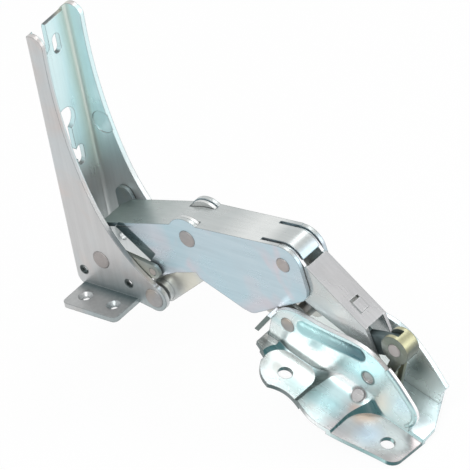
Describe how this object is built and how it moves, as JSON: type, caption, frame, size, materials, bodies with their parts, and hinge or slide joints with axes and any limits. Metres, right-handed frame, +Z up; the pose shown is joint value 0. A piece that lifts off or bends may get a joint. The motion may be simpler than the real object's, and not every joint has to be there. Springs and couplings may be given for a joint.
{
  "type": "fridge door hinge",
  "caption": "Multi-link concealed fridge door hinge: slotted upright wall channel, scissor levers on rivets and a stamped door tray with screw pads.",
  "frame": {"origin": "middle of the foot's four-hole screw pattern, on the foot's underside", "axes": "+X runs from the wall channel out to the door tray, Y along the rivets with the near side at -Y, +Z up along the channel's web"},
  "size_m": [0.1519, 0.0569, 0.1362],
  "materials": {
    "channel_zinc": "satin zinc plate",
    "lever_zinc": "satin zinc plate",
    "tray_zinc": "satin zinc plate",
    "arm_zinc": "satin zinc plate",
    "lug_zinc": "satin zinc plate",
    "rivet_steel": "dull, pressed ends"
  },
  "bodies": {
    "channel": {"wall_channel": "channel_zinc", "rivet_b": "rivet_steel", "stud_a_near": "rivet_steel", "stud_a_far": "rivet_steel"},
    "lower": {"lower_lever": "lever_zinc"},
    "upper": {"upper_lever": "lever_zinc", "rivet_c": "rivet_steel", "rivet_d": "rivet_steel", "stud_k_near": "rivet_steel", "stud_k_far": "rivet_steel"},
    "arm": {"outer_arm": "arm_zinc", "arm_insert": "arm_zinc"},
    "tray": {"door_tray": "tray_zinc", "tray_lug": "lug_zinc", "rivet_e": "rivet_steel", "rivet_g": "rivet_steel"},
    "link": {"control_link_near": "lever_zinc", "control_link_far": "lever_zinc"}
  },
  "joints": [
    {"name": "lower_fold", "type": "hinge", "parent": "channel", "child": "lower", "pos_m": [0.0201, 0, 0.0044], "axis": [0, -1, 0], "range_deg": [0, 68]},
    {"name": "upper_fold", "type": "hinge", "parent": "lower", "child": "upper", "pos_m": [0.0382, 0, 0.033], "axis": [0, -1, 0], "range_deg": [0, 23.8]},
    {"name": "arm_fold", "type": "hinge", "parent": "upper", "child": "arm", "pos_m": [0.0827, 0, 0.0351], "axis": [0, -1, 0], "range_deg": [-22.44, 0]},
    {"name": "tray_fold", "type": "hinge", "parent": "lower", "child": "tray", "pos_m": [0.0807, 0, 0.0097], "axis": [0, -1, 0], "range_deg": [0, 24.21]},
    {"name": "link_fold", "type": "hinge", "parent": "upper", "child": "link", "pos_m": [0.02, 0, 0.0145], "axis": [0, -1, 0], "range_deg": [-95.2, 0]}
  ],
  "couplings": [
    {"joint": "upper_fold", "follows": "lower_fold", "ratio": 0.35},
    {"joint": "arm_fold", "follows": "lower_fold", "ratio": -0.33},
    {"joint": "tray_fold", "follows": "lower_fold", "ratio": 0.356},
    {"joint": "link_fold", "follows": "lower_fold", "ratio": -1.4}
  ]
}
